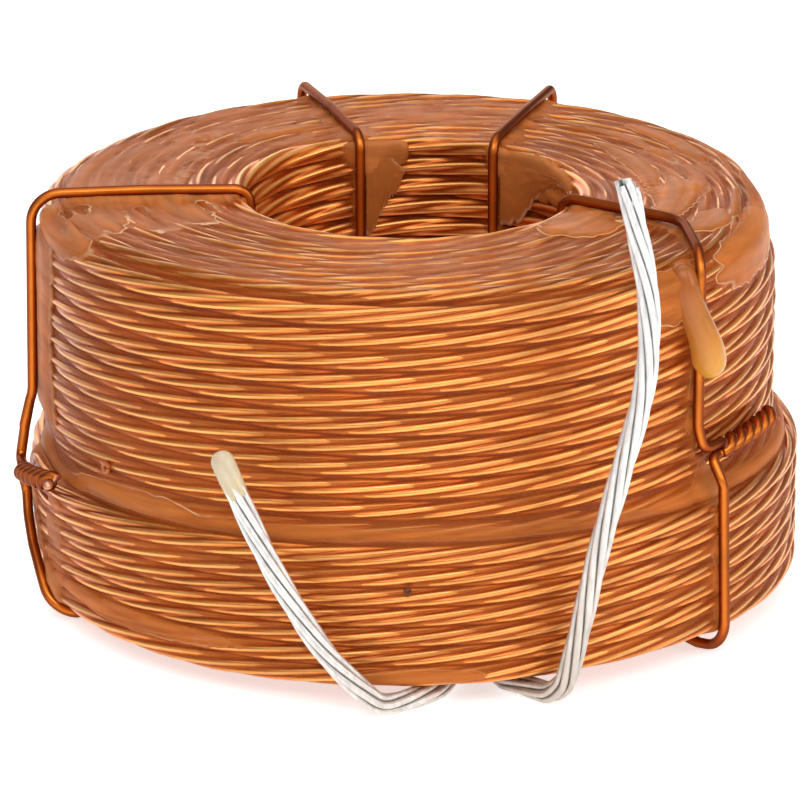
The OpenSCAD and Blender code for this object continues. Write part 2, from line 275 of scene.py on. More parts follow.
def varnishFilm():
    # Colour and cover both follow the film's height over the crests, the colour darker the lower the film lies:
    # painted shade in the grooves. A pale crust marks where it leaves them.
    finish, tree = newFinish("varnishFilm", filmLook["shader"])
    level = attributeOf(tree, "level")
    body = shadeBy(tree, colourRamp(tree, level, filmLook["glazeAndGrooveShade"]),
                   speckled(tree, *filmLook["streaks"], noise=roundTheCoil))
    crust = mathNode(tree, "MULTIPLY", colourRamp(tree, level, filmLook["edge"]), attributeOf(tree, "crust"))
    cover = colourRamp(tree, level, filmLook["cover"])
    dress(tree, filmLook, blendColour(tree, crust, body, filmLook["crust"]), mathNode(tree, "MAXIMUM", cover, crust),
          roundTheCoil)
    return finish


plainLook = dict(
    shader={"Roughness": 0.45}, scale=200, tones=[(0.3, (0.20, 0.034, 0.004)), (0.7, (0.30, 0.055, 0.007))])


def plainVarnish():
    # Varnish deep in the winding and the tails: noise read as a colour between two dark tones, painted shade where it
    # shows in the gaps between the turns and between a tail's strands.
    finish, tree = newFinish("plainVarnish", plainLook["shader"])
    dress(tree, plainLook, colourRamp(tree, speckle(tree, plainLook["scale"]), plainLook["tones"]))
    return finish


tieLook = dict(
    shader={"Metallic": 0.75, "Coat Weight": 0.06, "Coat Roughness": 0.2, "Specular Tint": (1.0, 0.55, 0.28, 1)},
    # By how far the surface turns from the view: painted highlight facing it, painted shade towards the edges.
    viewShade=[(0.0, (0.78, 0.22, 0.026)), (0.22, (0.36, 0.066, 0.007)), (0.6, (0.14, 0.022, 0.002)),
            (1.0, (0.08, 0.011, 0.001))],
    mottle=(220, 0.9, 0.5), rough=(700, 0.2, 0.22), cut=(0.80, 0.40, 0.25, 1))


def tieCopper():
    # A painted highlight where the wire faces the view and painted shade towards its edges: a ramp by how far the
    # surface turns away, times mottle.
    finish, tree = newFinish("tieCopper", tieLook["shader"])
    viewShade = addNode(tree, "ShaderNodeLayerWeight", {"Blend": 0.5}).outputs["Facing"]
    body = shadeBy(tree, colourRamp(tree, viewShade, tieLook["viewShade"]), speckled(tree, *tieLook["mottle"]))
    dress(tree, tieLook, blendColour(tree, attributeOf(tree, "cut"), body, tieLook["cut"]))
    return finish


tinLook = dict(
    shader={"Metallic": 0.7, "Coat Weight": 0.2, "Coat Roughness": 0.25},
    # Painted shade between the strands and on the core that fills between them.
    grooveShade=[(0.0, (0.86, 0.85, 0.84)), (0.5, (0.75, 0.74, 0.725)), (0.85, (0.47, 0.455, 0.43)),
            (1.0, (0.21, 0.20, 0.18))],
    mottle=(1600, 0.9, 0.55, (1, 1, 0.25)), rough=(800, 0.3, 0.28), grain=(1200, 0.35, 0.0001),
    brightAt=0.04,  # metres above the floor where the painted shade and reflection end
    # startTin and finishTin: painted shade and a painted warm reflection of the coil near the floor; the finish
    # lead's is darker, as it stands in shade.
    startTin=[(0.0, (0.78, 0.73, 0.68)), (0.25, (0.93, 0.91, 0.89)), (0.6, (0.98, 0.97, 0.96)), (1.0, 1)],
    finishTin=[(0.0, (0.62, 0.55, 0.48)), (0.25, (0.74, 0.69, 0.64)), (0.6, (0.91, 0.89, 0.87)), (1.0, 1)])


def tinnedCopper(name):
    # Tin, with painted shade dark in the grooves between the strands, times a ramp of painted shade and a painted
    # warm reflection of the coil towards the floor, times mottle drawn out along the wire.
    finish, tree = newFinish(name, tinLook["shader"])
    body = colourRamp(tree, attributeOf(tree, "grooveShade"), tinLook["grooveShade"])
    lowShadeAndReflection = colourRamp(tree, mathNode(tree, "MULTIPLY", whereOn(tree)[2], 1 / tinLook["brightAt"]), tinLook[name])
    body = blendColour(tree, 1.0, body, lowShadeAndReflection, "MULTIPLY")
    dress(tree, tinLook, shadeBy(tree, body, speckled(tree, *tinLook["mottle"])))
    return finish


resinLook = dict(
    shader={"Coat Weight": 0.3, "Coat Roughness": 0.08, "IOR": 1.45, "Specular IOR Level": 0.3,
            "Subsurface Scale": 0.001, "Subsurface Radius": (1.6, 0.7, 0.2)},
    mottle=(260, 0.5, 0.75), rough=(500, 0.15, 0.18), crust=(0.80, 0.46, 0.23, 1))
# The kinds of resin: cover, milkiness and tones.
resins = dict(
    dripResin=(0.86, 0.15, [(0.0, (0.74, 0.36, 0.040)), (0.3, (0.70, 0.31, 0.045)), (0.5, (0.60, 0.22, 0.038)),
                            (0.75, (0.48, 0.14, 0.024)), (1.0, (0.45, 0.12, 0.020))]),
    curtainResin=(0.86, 0.1, [(0.0, (0.40, 0.11, 0.02)), (1.0, (0.54, 0.17, 0.04))]),
    beadResin=(0.72, 0.2, [(0.0, (0.74, 0.60, 0.36)), (1.0, (0.88, 0.78, 0.58))]),
    markResin=(1.0, 0.0, [(0.0, (0.12, 0.02, 0.003)), (1.0, (0.45, 0.11, 0.016))]))


def amberResin(name):
    # Resin whose colour runs along the piece by its tone, times mottle; a pale crust lies along its edge.
    cover, milky, tones = resins[name]
    finish, tree = newFinish(name, {**resinLook["shader"], "Alpha": cover, "Subsurface Weight": milky})
    body = shadeBy(tree, colourRamp(tree, attributeOf(tree, "tone"), tones), speckled(tree, *resinLook["mottle"]))
    dress(tree, resinLook, blendColour(tree, attributeOf(tree, "crust"), body, resinLook["crust"]))
    return finish


copperFinish, filmFinish, tieFinish = strandCopper(), varnishFilm(), tieCopper()
startTin, finishTin = tinnedCopper("startTin"), tinnedCopper("finishTin")
dripFinish, curtainFinish, beadFinish, markFinish = map(amberResin, resins)
plainFinish = plainVarnish()
print("finishes made")


# The belt's bottom and top edges above the foot at each azimuth.
beltEdges = dict(
    at=[0, 60, 150, 200, 218, 240, 270, 292, 313, 335, 360],
    low=[0.1, 0.1, 0.1, -0.1, -0.35, -0.4, 0.0, 0.3, 0.45, 0.25, 0.1],
    high=[12.9, 13.5, 13.4, 11.7, 12.2, 13.0, 13.6, 13.6, 13.4, 13.2, 12.9])


def beltLift(az):
    # How far the belt's bottom edge lies above the foot, and its turns' pitch: its height less a wire, shared
    # out between the turns.
    low, high = (np.interp(az % 360, beltEdges["at"], beltEdges[edge]) for edge in ("low", "high"))
    return low, (high - low - 2 * wireR) / (coil["beltTurns"] - 1)


def sway(az, orders, phases):
    # Slow waves round the coil: sines of the orders, each over the root of its order.
    return sum(np.sin(np.radians(az) * n + p) / n ** 0.5 for n, p in zip(orders, phases)) / 2.6


# For each group of turns: points round the wire, their gap along it, the seed, how bright its wire is painted
# as lit or shaded, and the places painted darker as shade or brighter as light as azimuth, half width in degrees and
# amount.
rope = dict(
    wall=dict(sides=36, spacing=1.5, seed=11, paintedBrightness=1, paintedSpots=[(206, 14, -0.30)]),
    belt=dict(sides=36, spacing=1.5, seed=12, paintedBrightness=0.87),
    core=dict(sides=30, spacing=1.4, seed=13, paintedBrightness=1.05, paintedSpots=[(152, 26, 0.42), (84, 32, -0.24)]),
    top=dict(sides=24, spacing=1.7, seed=14, paintedBrightness=0.86),
    foot=dict(sides=24, spacing=1.7, seed=15, paintedBrightness=1))


def ropeTurns(name, turns, sides, spacing, seed, paintedBrightness, paintedSpots=()):
    # Closed turns of the stranded wire. turns lists a radius and a height for each, the height as a number or as a
    # function of azimuth. Round each middle line run six strands: the section's radius is the farthest of six
    # circles of a third of the wire's radius, and it turns once in each lay, so that a point stays on its strand.
    # The painted brightness is the group's value plus a bell curve for each spot: light and shade painted into the
    # tone, together with a slow random wave and each strand's random tone.
    rng = np.random.default_rng(seed)
    allPoints, allQuads, grooves, tones = [], [], [], []
    a = wireR / 3
    side = np.arange(sides)
    local = (side * 360 / sides + 30) % 60 - 30
    off = 2 * a * np.sin(np.radians(local))
    crown = 2 * a * np.cos(np.radians(local)) + np.sqrt(np.clip(a * a - off * off, 0, None))
    crown = np.maximum(crown, coil["crownLow"] * wireR)
    # How deep each point lies in the groove between strands: the share of painted shade, with the crest's painted
    # highlight where it is 0.
    grooveShade = np.clip((wireR - crown) / ((1 - coil["crownLow"]) * wireR), 0, 1)
    base = 0
    for radius, height in turns:
        rings = int(round(2 * math.pi * radius / spacing))
        az = np.arange(rings) * 360 / rings
        phases = rng.uniform(0, 2 * math.pi, 6)
        waves, waves2 = sway(az, (1, 2, 3, 5, 7, 11), phases), sway(az, (2, 3, 4, 6, 9, 13), phases[::-1])
        z = (height if np.isscalar(height) else height(az)) + coil["waver"] * waves
        r = radius - 0.03 + 0.03 * waves2
        steps = int(round(2 * math.pi * radius / coil["strandLay"] * 6))
        lean = np.radians(az) / (2 * math.pi) * steps * 60 + rng.uniform(0, 60) + 4 * waves2
        turn = np.radians(lean[:, None] + (side * 360 / sides)[None, :])
        allPoints.append(polar(r[:, None] + crown * np.cos(turn), az[:, None],
                               z[:, None] + crown * np.sin(turn)).reshape(-1, 3))
        shift = steps * sides // 6
        i, j = np.arange(rings)[:, None], side[None, :]
        nextRow, wrap = (i + 1) % rings * sides, np.where(i + 1 < rings, 0, shift)
        here, there = base + i * sides + j, base + nextRow + (j + wrap) % sides
        here2, there2 = base + i * sides + (j + 1) % sides, base + nextRow + (j + 1 + wrap) % sides
        allQuads.append(np.stack([here, here2, there2, there], -1).reshape(-1, 4))
        grooves.append(np.tile(grooveShade, rings))
        strandTone = rng.uniform(0.82, 1.12, 6)
        # Painted light and shade: the group's brightness plus the spots painted brighter or darker.
        bright = paintedBrightness + sum(amount * bell(angleFrom(az, middle) / wide) for middle, wide, amount in paintedSpots)
        slow = (bright * (1 + 0.10 * waves))[:, None]
        tones.append((slow * strandTone[((side * 6 + sides // 2) // sides) % 6][None, :]).ravel())
        base += rings * sides
    buildMesh(name, np.concatenate(allPoints), np.concatenate(allQuads), surface=copperFinish,
              values=dict(grooveShade=np.concatenate(grooves), tone=np.concatenate(tones)), slot="enamelled_copper")


def layerR(i):
    # The radius of layer i's middle line: the core's, the wire's and i layer pitches.
    return boreR + wireR + i * coil["layerPitch"]


def layerDrop(i):
    # Every second layer lies half a pitch deeper.
    return (i % 2) * coil["pitch"] / 2


def beltHeight(k):
    # The height of the belt's turn k at each azimuth: the bottom edge, the wire's radius and k pitches.
    def height(az):
        low, pitch = beltLift(az)
        return footZ + low + wireR + k * pitch
    return height


lowZ, highZ, last = footZ + wireR, topZ - wireR, coil["layers"] - 1
wallZ = [lowZ + layerDrop(last) + k * coil["pitch"] for k in range(coil["turnsHigh"] - 1)]
ropeTurns("wallTurns", [(layerR(last), z) for z in wallZ if z > beltZ - 1.5], **rope["wall"])
ropeTurns("beltTurns", [(layerR(coil["layers"]), beltHeight(k)) for k in range(coil["beltTurns"])], **rope["belt"])
ropeTurns("coreTurns", [(layerR(0), lowZ + k * coil["pitch"]) for k in range(coil["turnsHigh"])], **rope["core"])
# On top the turns of every second layer lie deeper; their strands are drawn just under the varnish.
ropeTurns("topTurns", [(layerR(i), highZ - 0.09 * layerDrop(i)) for i in range(1, last)], **rope["top"])
ropeTurns("footTurns", [(layerR(i), lowZ + layerDrop(i)) for i in range(1, last + 1)], **rope["foot"])
print("turns laid")


ties = dict(
    wireR=0.5, clear=0.06, bendR=1.55, footR=3.0, arch=0.3, tailLay=3.45, reach=2.1, tailBendR=0.9, sides=16,
    fillR=0.58,
    left=dict(core=190, turn=188.8, up=187, hip=188.5, foot=205, share=0.5, tail=-3.8, climb=2.6,
              length=11.0, rimR=2.9, off=0.3),
    back_left=dict(core=108.3, turn=108, up=107.8, hip=107, foot=107, share=0.5, tail=2.4, climb=0,
                   length=9.0, rimR=1.55, off=0),
    back_right=dict(core=57.6, turn=63, up=66, hip=66, foot=66, share=0.5, tail=2.4, climb=0,
                    length=9.0, rimR=1.55, off=0),
    front_right=dict(core=340, turn=331.5, up=318, hip=320, foot=320, share=0.66, tail=3.8, climb=0,
                     length=11.0, rimR=2.6, off=0))
tieNames = ("left", "back_left", "back_right", "front_right")
# The varnish's section: its step, how far its plain back lies inside the crests and the body behind it, and the
# fillet over the belt as places out from the wall and up from the seam.
section = dict(step=0.33, back=1.3, body=0.9, fillet=[(0, 3.4), (0.12, 2.2), (0.45, 1.0), (0.85, 0.05)])


def arc(centre, r, a0, a1, n):
    # n points on a circle, from angle a0 to a1.
    a = np.radians(np.linspace(a0, a1, n))
    return np.stack([centre[0] + r * np.cos(a), centre[1] + r * np.sin(a)], -1)


def crestPath(spacing):
    # The line over the turns' crests in a section: up the core, out over the top, down wall and belt, in below.
    # Its direction outwards is the tangent turned by a right angle, smoothed by a bell curve over nine steps.
    w, r8, r9, r10 = wireR, layerR(8), layerR(9), layerR(10)
    line = np.concatenate([
        [[boreR, footZ + w]], arc((layerR(0), topZ - w), w, 180, 90, 6),
        arc((r8, topZ - w), w, 90, 61, 3), arc((r9, topZ - w - 1.01), w, 61, 0, 5),
        np.array(section["fillet"]) + [wallR, beltZ],
        arc((r10, beltZ - w - 0.3), w, 50, 0, 4), arc((r10, footZ + w), w, 0, -90, 6),
        arc((layerR(0), footZ + w), w, 270, 180, 6)])
    gaps = np.linalg.norm(np.diff(line, axis=0), axis=1)
    s = np.concatenate([[0], np.cumsum(gaps)])
    at = np.linspace(0, s[-1], int(s[-1] / spacing))
    path = np.stack([np.interp(at, s, line[:, 0]), np.interp(at, s, line[:, 1])], -1)
    d = np.gradient(path, axis=0)
    normal = unit(np.stack([-d[:, 1], d[:, 0]], -1))
    kernel = bell(np.linspace(-2, 2, 9))
    normal = unit(np.stack([np.convolve(np.pad(normal[:, k], 4, "edge"), kernel / kernel.sum(), "valid")
                            for k in (0, 1)], -1))
    return path, normal, at


def firstAt(test):
    # The first place where the test holds.
    return int(np.argmax(test))


filmPath, filmNormal, filmAt = crestPath(section["step"])
coreEnd = firstAt(filmPath[:, 1] > topZ - 0.35)
topEnd = firstAt((filmPath[:, 0] > 33.4) & (filmPath[:, 1] > 30))
wallEnd = firstAt((filmPath[:, 0] > 35) & (filmPath[:, 1] < beltZ + 0.3))
footStart = firstAt((filmPath[:, 0] > 30) & (filmPath[:, 1] < footZ + 0.35))
# base is the varnish's height at eight places of the section; streak, fine and broad are its noises' heights.
# Each patch of thick varnish: azimuth, way from the outer rim (inwards over the top is negative), the two half
# widths in millimetres, how much higher it stands, and its crust (negative: along its lower edge alone).
film = dict(
    base=[-0.62, -0.62, -0.19, -0.20, -0.32, -0.30, -0.32, -0.4], streak=0.11, fine=0.03, broad=0.07,
    seam=0.36, seamUp=0.9, coreBank=0.72, bank=0.36, bankWidth=1.3, webWidth=2.6, ragged=(0.13, 0.09),
    crust=0.12, crustWidth=0.22, lowest=-0.8, highest=0.4, span=1.5,
    patches=[(200, -9, 6.5, 6.5, 0.15, 1), (195, -6, 5, 1.3, 0.12, 1), (206, -13.5, 4, 1.6, 0.14, 1),
             (190, -12, 5, 1.1, 0.12, 0.9), (18, -12, 9, 1.1, 0.2, 0.9), (42, -8.2, 10, 0.8, 0.18, 0.8),
             (352, -2.6, 6, 0.8, 0.2, 0.9), (24, -2, 9, 0.9, 0.2, 0.8), (204, -3, 4, 3, 0.16, 1),
             (168, -7, 13, 6.5, 0.18, 0.4), (322, -15, 4.5, 3.5, 0.42, 1), (345, -8, 8, 7, 0.06, 0.5),
             (339, -4.6, 4, 1.9, 0.34, 1), (352, -9.5, 7, 2.0, 0.34, 1), (12, -9, 9, 6, 0.16, 0.3),
             (80, -9, 9, 5, 0.12, 0.3), (128, -8, 8, 5, 0.13, 0.3), (30, -5, 8, 1.2, 0.3, 0.8),
             (125, -13, 5, 1.0, 0.3, 0.7), (200, 0.8, 8, 2.2, 0.34, 0.8), (313, 2.5, 3.8, 3.4, 0.42, 1),
             (338, 1.6, 10.5, 3.4, 0.45, 1), (0, 1, 10, 2.2, 0.3, 0.6), (100, 1, 14, 1.6, 0.2, 0.2),
             (222, 21.2, 9, 1.3, 0.24, 0.9), (226, 35.5, 14, 1.3, 0.34, -1), (203, 32, 2.5, 8, 0.22, 0),
             (271, 37.8, 7, 1.1, 0.34, 0.4), (32, -21.5, 7.4, 2.6, 0.85, 0.4),
             (99, -21.3, 2.6, 2.2, 0.85, 0.3)])


def filmLevel(az, rows):
    # Height of the varnish over the turns' crests, and where its edge has a crust. A base for each part of the
    # section, streaks and grain from noise, the patches (flat in the middle, ragged at the rim), the fillet over the
    # belt and a bank along each tie wire, which falls off as a bell curve.
    r, z = filmPath[rows, 0][None], filmPath[rows, 1][None]
    az = az[:, None]
    u, v = az / 360 + 0 * r, filmAt[rows][None] / filmAt[-1] + 0 * az
    places = [0, coreEnd - 8, coreEnd + 3, topEnd - 3, topEnd + 6, wallEnd, footStart, len(filmPath)]
    grain = cloud(u, v, 60, 70, 41)
    level = (np.interp(rows, places, film["base"])[None] + film["streak"] * cloud(u, v, 20, 110, 31)
             + film["fine"] * (cloud(u, v, 150, 90, 51) + grain) + film["broad"] * cloud(u, v, 9, 20, 43))
    way = np.where(rows < coreEnd, r - wallR + z - topZ, r - wallR - z + topZ)
    way = np.where(rows >= footStart, 60.0, way)
    crust = film["crust"] + 0 * level
    ragged = film["ragged"][0] * grain + film["ragged"][1] * cloud(u, v, 240, 120, 61)
    for middle, at, wide, high, amount, edge in film["patches"]:
        gap = np.hypot(angleFrom(az, middle) * math.pi / 180 * r / wide, (way - at) / high) + ragged
        level = level + amount * (1 - smoothStep(0.75, 1.2, gap))
        lower = 1 if edge >= 0 else smoothStep(0, 0.6, (way - at) / high)
        crust = np.maximum(crust, abs(edge) * lower * bell((gap - 1) / film["crustWidth"]))
    level = level + film["seam"] * bell((z - beltZ - film["seamUp"]) / 0.9) * (rows > topEnd)
    for name in tieNames:
        tie = ties[name]
        turnR = boreR + tie["share"] * (wallR - boreR)
        top = np.interp(r, [boreR, turnR, wallR], [tie["core"], tie["turn"], tie["up"]])
        outside = np.where(z > beltZ + tie["tail"], tie["up"],
                           np.interp(z, [2, beltZ + tie["tail"] - 2], [tie["foot"], tie["hip"]]))
        at = np.where(rows < coreEnd, tie["core"], np.where(rows < topEnd, top, outside))
        gap = angleFrom(az, at) * math.pi / 180 * r
        width = np.maximum(film["bankWidth"] + 0.7 * grain, 0.5)
        if name == "left":  # the web beside this tie is wider
            width = np.where((gap > 0) & (rows >= topEnd), film["webWidth"] + 0.9 * grain, width)
        level = level + np.where(rows < coreEnd, film["coreBank"], film["bank"]) * bell(gap / width)
    return np.clip(level, film["lowest"], film["highest"]), crust


def followBelt(az, ring):
    # Heights on the belt's side go with the belt, which is lower in places: a share of the way from foot to seam,
    # faded out above the seam.
    low, pitch = beltLift(az)
    foot = footZ + low[:, None]
    head = foot + (coil["beltTurns"] - 1) * pitch[:, None] + 2 * wireR
    share = (ring[..., 1] - footZ) / (beltZ - footZ)
    fade = 1 - smoothStep(beltZ + 2.0, beltZ + 7.0, ring[..., 1])
    moved = np.where(share < 1, foot + share * (head - foot), ring[..., 1] + (head - beltZ) * fade)
    ring[..., 1] += (moved - ring[..., 1]) * smoothStep(33.2, 35.2, ring[..., 0])
    return ring


def ringBand(name, az, ring, **rest):
    # A closed band from a closed section at each azimuth.
    columns, rows = ring.shape[:2]
    i, j = np.arange(columns)[:, None], np.arange(rows)[None, :]
    i2, j2 = (i + 1) % columns, (j + 1) % rows
    quads = np.stack([i * rows + j, i * rows + j2, i2 * rows + j2, i2 * rows + j], -1)
    buildMesh(name, polar(ring[..., 0], az[:, None], ring[..., 1]), quads, **rest)


def filmShell(name, first, final, columns):
    # A closed skin of varnish over part of the section: the crest line moved out by the level, and a plain back
    # inside it.
    path, normal = filmPath[first:final], filmNormal[first:final]
    az = np.arange(columns) * 360 / columns
    level, crust = filmLevel(az, np.arange(first, first + len(path)))
    front = path[None] + level[..., None] * normal[None]
    back = np.broadcast_to((path - section["back"] * normal)[[-1, 0]][None], (columns, 2, 2))
    ring = followBelt(az, np.concatenate([front, back], 1))
    pad = np.zeros((columns, 2))
    shown = np.clip((level - film["lowest"]) / film["span"], 0, 1)
    ringBand(name, az, ring, surface=filmFinish,
             values=dict(level=np.concatenate([shown, pad], 1), crust=np.concatenate([crust, pad], 1)))


filmShell("coreVarnish", 0, coreEnd + 1, 360)
filmShell("topVarnish", coreEnd, topEnd + 1, 760)
filmShell("wallVarnish", topEnd, wallEnd + 1, 760)
filmShell("beltVarnish", wallEnd, footStart + 1, 760)
filmShell("footVarnish", footStart, len(filmPath), 300)
# A plain body fills the winding behind its outer turns; its dark colour is painted shade in the gaps between them.
fillAz = np.arange(240) * 1.5
fillRing = (filmPath - section["body"] * filmNormal)[::4]
ringBand("windingBody", fillAz, followBelt(fillAz, np.repeat(fillRing[None], len(fillAz), 0)), surface=plainFinish)
print("varnish laid")


def corner(a, b, c, r, steps):
    # The arc that rounds the corner at b: its middle lies r over the cosine of half the turn from b, and it runs
    # from its start by the cosine and the sine of the angle.
    d1, d2 = unit(b - a), unit(c - b)
    turn = math.acos(max(-1, min(1, float(d1 @ d2))))
    if turn < 0.02:
        return [b]
    centre = b + unit(d2 - d1) * r / math.cos(turn / 2)
    start = b - d1 * r * math.tan(turn / 2) - centre
    return [centre + start * math.cos(turn * i / steps) + d1 * r * math.sin(turn * i / steps)
            for i in range(steps + 1)]


def rounded(stops, steps):
    # A line through (point, radius) stops with an arc at each stop but the ends.
    points = [stops[0][0]]
    for before, here, after in zip(stops, stops[1:], stops[2:]):
        points += corner(before[0], here[0], after[0], here[1], steps)
    return points + [stops[-1][0]]


def through(p, steps):
    # A smooth curve through the points: a cubic between each two that keeps the direction of their neighbours.
    p = np.asarray(p)
    out = []
    for i in range(len(p) - 1):
        a, b, c, d = p[max(0, i - 1)], p[i], p[i + 1], p[min(len(p) - 1, i + 2)]
        t = np.arange(steps)[:, None] / steps
        out.append(0.5 * (2 * b + (c - a) * t + (2 * a - 5 * b + 4 * c - d) * t ** 2
                          + (3 * b - a - 3 * c + d) * t ** 3))
    return np.concatenate(out + [p[-1:]])


def evenly(p, gap):
    # The same line with its points a gap apart: its places read at equal steps of its length.
    s = np.concatenate([[0], np.cumsum(np.linalg.norm(np.diff(p, axis=0), axis=1))])
    at = np.linspace(0, s[-1], int(round(s[-1] / gap)) + 1)
    return np.stack([np.interp(at, s, p[:, k]) for k in range(3)], -1)


def carriedFrame(p):
    # Tangents, and two normals carried along the path without turning about it: each is the one before less its
    # share along the tangent.
    t = unit(np.gradient(p, axis=0))
    n = np.zeros_like(p)
    first = np.array([0.31, 0.52, 0.8])
    n[0] = unit(first - (first @ t[0]) * t[0])
    for i in range(1, len(p)):
        n[i] = unit(n[i - 1] - (n[i - 1] @ t[i]) * t[i])
    return t, n, np.cross(t, n)


def tubeFaces(rings, sides):
    # Quads of a tube and the two fans that close it; the fans' middles are the last two points.
    i, j = np.arange(rings - 1)[:, None], np.arange(sides)[None, :]
    j2 = (j + 1) % sides
    quads = np.stack([i * sides + j, i * sides + j2, (i + 1) * sides + j2, (i + 1) * sides + j], -1).reshape(-1, 4)
    k = np.arange(sides)
    k2, end, middle = (k + 1) % sides, (rings - 1) * sides, rings * sides + 0 * k
    tris = np.concatenate([np.stack([k2, k, middle], -1), np.stack([end + k, end + k2, middle + 1], -1)])
    return quads, tris


def tube(p, radius, sides):
    # Points and faces of a round tube along p: each ring is the point plus the radius times the cosine and the
    # sine along the two normals. radius is a number or one for each point.
    p = np.asarray(p)
    _, n, m = carriedFrame(p)
    radius = np.broadcast_to(radius, len(p))
    a = np.arange(sides) * 2 * math.pi / sides
    circle = n[:, None] * np.cos(a)[None, :, None] + m[:, None] * np.sin(a)[None, :, None]
    ring = p[:, None] + radius[:, None, None] * circle
    return np.concatenate([ring.reshape(-1, 3), p[:1], p[-1:]]), *tubeFaces(len(p), sides)


def closedSkin(ring):
    # Points and faces of a skin whose rows are closed sections; each end closes on the middle of its section.
    return (np.concatenate([ring.reshape(-1, 3), ring[:1].mean(1), ring[-1:].mean(1)]), *tubeFaces(*ring.shape[:2]))


def tailStrand(tie, r, az, z, side, off=1.04):
    # A strand of the tail: it winds round a line that follows the wall, once in each lay, and climbs with it.
    steps = int(tie["length"] * 7)
    i = np.arange(steps + 1) / steps
    turn = np.radians(side + 360 * tie["length"] / ties["tailLay"] * i)
    off = off * ties["wireR"]
    return polar(r + off * np.cos(turn), az + i * tie["length"] / r * 180 / math.pi,
                 z + tie["climb"] * i + off * np.sin(turn))


def tiePath(tie):
    # The wire from one end of its tail round the coil to the other: straight runs with an arc at each bend, and
    # the tail's two strands. It also gives the tail's middle line.
    w, d = ties["wireR"], 2 * ties["wireR"]
    inR, upR, lowR = boreR - ties["clear"] - w, wallR + ties["clear"] + w, beltR + ties["clear"] + w
    up, hip, off = tie["up"], tie["hip"], 1.04 * w
    tailZ, onBelt = beltZ + tie["tail"], tie["tail"] < 0
    tailR = (lowR if onBelt else upR) + w
    overZ, underZ = topZ + ties["clear"] + w, footZ - ties["clear"] - w
    start = max(up, hip) + 1.7 * d / tailR * 180 / math.pi
    a, b = (tailStrand(tie, tailR, start, tailZ, side) for side in (90, 270))
    middleLine = tailStrand(tie, tailR, start, tailZ, 0, 0)
    coreFoot, outFoot = polar(inR, tie["core"], underZ), polar(lowR, tie["foot"], w)
    hipZ = tailZ - off - ties["reach"] if onBelt else max(tailZ - off - ties["reach"], beltZ - 0.2)
    lean = [] if hip == tie["foot"] else [
        (polar(lowR + ties["clear"], hip + (tie["foot"] - hip) * u ** 1.4, hipZ + (w + ties["bendR"] - hipZ) * u), 6)
        for u in (0.75, 0.5, 0.25)]
    middle = rounded([
        (a[0], 0), (polar(tailR, up + 0.4, tailZ + off), ties["tailBendR"]),
        *([(polar(lowR, up, beltZ - 0.3), 2.0), (polar(upR + tie["off"] + 0.3, up, beltZ + 3.2), 4.0)]
          if onBelt else [(polar(upR, up, tailZ + off + ties["reach"]), 4.0)]),
        (polar(upR + tie["off"], up, overZ), tie["rimR"]),
        (polar(inR + tie["share"] * (upR - inR), tie["turn"], overZ + ties["arch"]), 5.0),
        (polar(inR, tie["core"], overZ), ties["bendR"]), (coreFoot, ties["bendR"]),
        (coreFoot * 0.3 + outFoot * 0.7, 8.0), (outFoot, ties["footR"])] + lean + [
        (polar(lowR, hip, hipZ), 1.5), (polar(tailR, max(up, hip) + 0.4, tailZ - off), ties["tailBendR"]),
        (b[0], 0)], 10)
    return np.concatenate([a[:0:-1], np.array(middle), b[1:]]), middleLine


for tieName in tieNames:
    path, middleLine = tiePath(ties[tieName])
    # Varnish fills the tail between its strands.
    buildMesh("tailVarnish_" + tieName, *tube(middleLine[1:-2], ties["fillR"], 12), surface=plainFinish,
              replaces="tie_wire_" + tieName)
    points, quads, tris = tube(path, ties["wireR"], ties["sides"])
    cut = np.zeros(len(points))
    cut[-2:], cut[:ties["sides"]], cut[-2 - ties["sides"]:-2] = 1, 0.7, 0.7
    buildMesh("tieWire_" + tieName, points, quads, tris, values=dict(cut=cut), surface=tieFinish,
              replaces="tie_wire_" + tieName, slot="tie_copper")
print("ties bent")


# Each lead's places below the coil are (share of the way from core to belt, azimuth, wires up), and those in
# front (wires out from the belt, azimuth, share of the tip's height). ends shortens each strand by so many rings.
leads = dict(
    wireR=1.05, clear=0.06, lay=34.0, strandSides=12, coreSides=18, ringGap=0.5, tight=0.985, fill=2.05,
    start=dict(layer=0, az=280.2, tip=21.75, ends=(0, 0, 0, 0, 0, 0, 0, 1),
               under=[(0.51, 279.7, 0), (0.82, 275.1, 0), (0.965, 270.5, 0), (1.048, 266.7, 0.05)],
               front=[(0.36, 264.3, 0.01), (0.7, 259, 0.2), (0.85, 254.1, 0.45), (0.87, 250.2, 0.68),
                      (0.79, 245.2, 1)]),
    finish=dict(layer=8, az=284.6, tip=48.2, ends=(0, 1, 0, 2, 1, 0, 0, 2),
                under=[(0.875, 287.2, 0), (1.003, 289.6, 0)],
                front=[(0.29, 290.9, 0), (0.57, 291.5, 0.03), (1.1, 292.4, 0.124), (1.71, 294.1, 0.292),
                       (2.17, 296.2, 0.443), (2.5, 298.8, 0.618), (2.26, 299.5, 0.779), (1.48, 298.6, 0.936),
                       (1.06, 298.1, 1)]))


def leadPath(lead):
    # The lead's middle line: a bend down out of its layer, then a smooth curve along the floor and up in front.
    w = leads["wireR"]
    low = polar(layerR(lead["layer"]), lead["az"], w)
    level = [polar(boreR + s * (beltR - boreR), az, w + 2 * w * up) for s, az, up in lead["under"]]
    rise = [polar(beltR + w + 2 * w * off, az, footZ + s * lead["tip"]) for off, az, s in lead["front"]]
    bend = corner(low + np.array([0, 0, 2 * w]), low, level[0], w + leads["clear"] / 2, 8)
    path = through([bend[-1]] + level + rise, 12)
    path[:, 2] = np.maximum(path[:, 2], w)
    return evenly(np.concatenate([bend[:-1], path]), leads["ringGap"])


